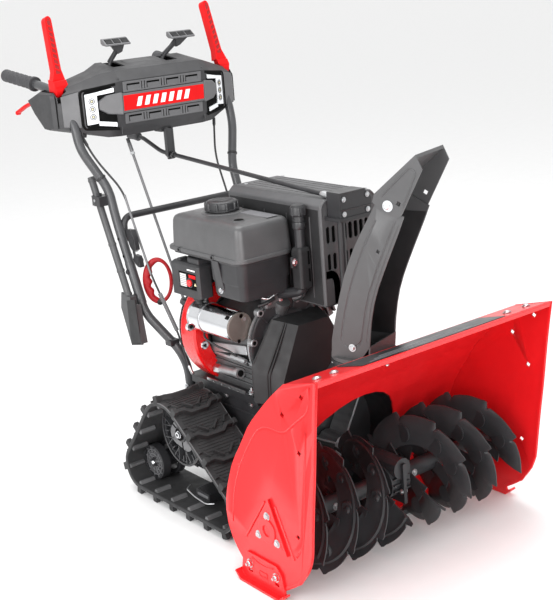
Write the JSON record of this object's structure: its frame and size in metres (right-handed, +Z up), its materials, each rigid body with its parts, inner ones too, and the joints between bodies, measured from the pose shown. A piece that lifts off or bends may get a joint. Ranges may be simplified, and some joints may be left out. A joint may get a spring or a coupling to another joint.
{
  "type": "two stage snowblower",
  "caption": "Walk-behind snow thrower: a serrated auger and an impeller feed a turning chute, driven by an engine on rubber tracks and steered from a handlebar console.",
  "frame": {"origin": "on the ground, at the bottom centre of the whole machine's box", "axes": "+Z up; +Y from the intake to the handlebar grips, so the machine drives along -Y; +X to the operator's left"},
  "size_m": [0.7808, 1.476, 1.2942],
  "materials": {
    "red_paint": "gloss powder coat",
    "red_plastic": "moulded, semi gloss",
    "black_steel": "satin black powder coat",
    "grey_steel": "grey satin powder coat",
    "black_plastic": "fine moulded grain",
    "rubber": "moulded track rubber",
    "grip_rubber": "ribbed grip rubber",
    "cable": "smooth cable sheath",
    "cast_aluminium": "as cast",
    "chrome": "bright plated",
    "bare_steel": "bright zinc plate",
    "lens": "frosted lamp cover"
  },
  "bodies": {
    "frame": {"side_plate_left": "red_paint", "side_plate_right": "red_paint", "housing_shell": "red_paint", "skid_shoe_left": "red_paint", "skid_shoe_right": "red_paint", "scraper_bar": "black_steel", "impeller_housing": "black_steel", "auger_gearbox": "black_steel", "chute_gear_case": "black_plastic", "belt_cover": "black_plastic", "chassis": "black_steel", "track_belt_left": "rubber", "track_belt_right": "rubber", "track_frame_left": "black_steel", "track_frame_right": "black_steel", "engine_block": "cast_aluminium", "fan_shroud": "red_plastic", "recoil_cover": "black_steel", "starter_motor": "chrome", "fuel_tank": "black_plastic", "switch_box": "black_plastic", "muffler_cover": "black_plastic", "oil_filler_tube": "black_steel", "handlebar_left": "black_steel", "handlebar_right": "black_steel", "grip_left": "grip_rubber", "grip_right": "grip_rubber", "cross_bar": "black_steel", "console": "black_plastic", "headlight_left": "lens", "headlight_right": "lens", "drive_cable": "cable", "auger_cable": "cable", "pull_hook": "black_plastic", "tool_clip": "black_plastic"},
    "augers": {"auger_shaft": "bare_steel", "auger_left": "black_steel", "auger_right": "black_steel"},
    "impeller_rotor": {"impeller": "bare_steel"},
    "chute_body": {"chute": "grey_steel"},
    "deflector_hood": {"deflector": "grey_steel"},
    "crank": {"chute_crank": "black_steel"},
    "speed_lever_body": {"speed_lever": "black_plastic"},
    "shift_rod_body": {"shift_rod": "bare_steel"},
    "deflector_lever_body": {"deflector_lever": "black_plastic"},
    "bail_left": {"bail_lever_left": "red_plastic"},
    "bail_right": {"bail_lever_right": "red_plastic"},
    "trigger_left": {"steering_trigger_left": "red_plastic"},
    "trigger_right": {"steering_trigger_right": "red_plastic"},
    "drive_left": {"sprocket_left": "black_steel"},
    "drive_right": {"sprocket_right": "black_steel"},
    "front_wheel_left": {"front_idler_left": "black_plastic"},
    "front_wheel_right": {"front_idler_right": "black_plastic"},
    "rear_wheel_left": {"rear_idler_left": "black_plastic"},
    "rear_wheel_right": {"rear_idler_right": "black_plastic"},
    "fuel_cap_body": {"fuel_cap": "black_plastic"},
    "dipstick_body": {"dipstick_cap": "black_plastic"},
    "stop_button_body": {"stop_button": "red_plastic"},
    "pull_start": {"pull_handle": "red_plastic"},
    "tool": {"clean_out_tool": "black_plastic"}
  },
  "joints": [
    {"name": "auger_spin", "type": "hinge", "parent": "frame", "child": "augers", "pos_m": [0, -0.533, 0.16], "axis": [1, 0, 0], "continuous": true},
    {"name": "impeller_spin", "type": "hinge", "parent": "frame", "child": "impeller_rotor", "pos_m": [0, -0.3, 0.2], "axis": [0, 1, 0], "continuous": true},
    {"name": "chute_rotation", "type": "hinge", "parent": "frame", "child": "chute_body", "pos_m": [0, -0.47, 0.466], "axis": [0, 0, 1], "range_deg": [-105, 66]},
    {"name": "deflector_tilt", "type": "hinge", "parent": "chute_body", "child": "deflector_hood", "pos_m": [0.0377, -0.58603, 0.85], "axis": [0.9511, 0.309, 0], "range_deg": [0, 52]},
    {"name": "chute_crank_turn", "type": "hinge", "parent": "frame", "child": "crank", "pos_m": [0.015, 0.326, 0.888], "axis": [-0.0157, 0.9969, 0.0772], "range_deg": [-530, 335]},
    {"name": "speed_lever_swing", "type": "hinge", "parent": "frame", "child": "speed_lever_body", "pos_m": [-0.107, 0.402, 1.085], "axis": [1, 0, 0], "range_deg": [-22, 22]},
    {"name": "shift_rod_slide", "type": "slide", "parent": "frame", "child": "shift_rod_body", "axis": [-0.0139, 0.4093, 0.9123], "range_m": [-0.012, 0.012]},
    {"name": "deflector_lever_swing", "type": "hinge", "parent": "frame", "child": "deflector_lever_body", "pos_m": [0.066, 0.402, 1.085], "axis": [1, 0, 0], "range_deg": [-25, 0]},
    {"name": "bail_left_swing", "type": "hinge", "parent": "frame", "child": "bail_left", "pos_m": [0.2765, 0.406, 1.1], "axis": [1, 0, 0], "range_deg": [-50, 0], "stiffness_Nm_per_rad": 0.8, "springref_deg": 20.05},
    {"name": "trigger_left_squeeze", "type": "hinge", "parent": "frame", "child": "trigger_left", "pos_m": [0.259, 0.512, 1.06], "axis": [1, 0, 0], "range_deg": [0, 14], "stiffness_Nm_per_rad": 0.4, "springref_deg": -11.46},
    {"name": "drive_spin_left", "type": "hinge", "parent": "frame", "child": "drive_left", "pos_m": [0.21, 0.006, 0.204], "axis": [1, 0, 0], "continuous": true},
    {"name": "front_wheel_spin_left", "type": "hinge", "parent": "frame", "child": "front_wheel_left", "pos_m": [0.21, -0.221, 0.078], "axis": [1, 0, 0], "continuous": true},
    {"name": "rear_wheel_spin_left", "type": "hinge", "parent": "frame", "child": "rear_wheel_left", "pos_m": [0.21, 0.16, 0.078], "axis": [1, 0, 0], "continuous": true},
    {"name": "bail_right_swing", "type": "hinge", "parent": "frame", "child": "bail_right", "pos_m": [-0.2765, 0.406, 1.1], "axis": [1, 0, 0], "range_deg": [-50, 0], "stiffness_Nm_per_rad": 0.8, "springref_deg": 20.05},
    {"name": "trigger_right_squeeze", "type": "hinge", "parent": "frame", "child": "trigger_right", "pos_m": [-0.259, 0.512, 1.06], "axis": [1, 0, 0], "range_deg": [0, 14], "stiffness_Nm_per_rad": 0.4, "springref_deg": -11.46},
    {"name": "drive_spin_right", "type": "hinge", "parent": "frame", "child": "drive_right", "pos_m": [-0.21, 0.006, 0.204], "axis": [1, 0, 0], "continuous": true},
    {"name": "front_wheel_spin_right", "type": "hinge", "parent": "frame", "child": "front_wheel_right", "pos_m": [-0.21, -0.221, 0.078], "axis": [1, 0, 0], "continuous": true},
    {"name": "rear_wheel_spin_right", "type": "hinge", "parent": "frame", "child": "rear_wheel_right", "pos_m": [-0.21, 0.16, 0.078], "axis": [1, 0, 0], "continuous": true},
    {"name": "fuel_cap_turn", "type": "hinge", "parent": "frame", "child": "fuel_cap_body", "pos_m": [-0.088, -0.052, 0.8], "axis": [0, 0, 1], "range_deg": [0, 90]},
    {"name": "dipstick_turn", "type": "hinge", "parent": "frame", "child": "dipstick_body", "pos_m": [-0.027, -0.285, 0.79], "axis": [0, 0, 1], "range_deg": [0, 180]},
    {"name": "stop_button_press", "type": "slide", "parent": "frame", "child": "stop_button_body", "axis": [1, 0, 0], "range_m": [0, 0.004], "stiffness_N_per_m": 400, "springref_m": -0.001},
    {"name": "pull_start_draw", "type": "slide", "parent": "frame", "child": "pull_start", "axis": [0, 0.9848, 0.1736], "range_m": [0, 0.4], "stiffness_N_per_m": 6, "springref_m": -0.6},
    {"name": "tool_slide", "type": "slide", "parent": "frame", "child": "tool", "axis": [0, 0.3858, 0.9226], "range_m": [0, 0.1]}
  ],
  "couplings": [
    {"joint": "impeller_spin", "follows": "auger_spin", "ratio": 10},
    {"joint": "chute_crank_turn", "follows": "chute_rotation", "ratio": 5},
    {"joint": "deflector_lever_swing", "follows": "deflector_tilt", "ratio": -0.46},
    {"joint": "shift_rod_slide", "follows": "speed_lever_swing", "m_per_rad": 0.03},
    {"joint": "front_wheel_spin_left", "follows": "drive_spin_left", "ratio": 1.8039},
    {"joint": "rear_wheel_spin_left", "follows": "drive_spin_left", "ratio": 1.8039},
    {"joint": "front_wheel_spin_right", "follows": "drive_spin_right", "ratio": 1.8039},
    {"joint": "rear_wheel_spin_right", "follows": "drive_spin_right", "ratio": 1.8039}
  ]
}
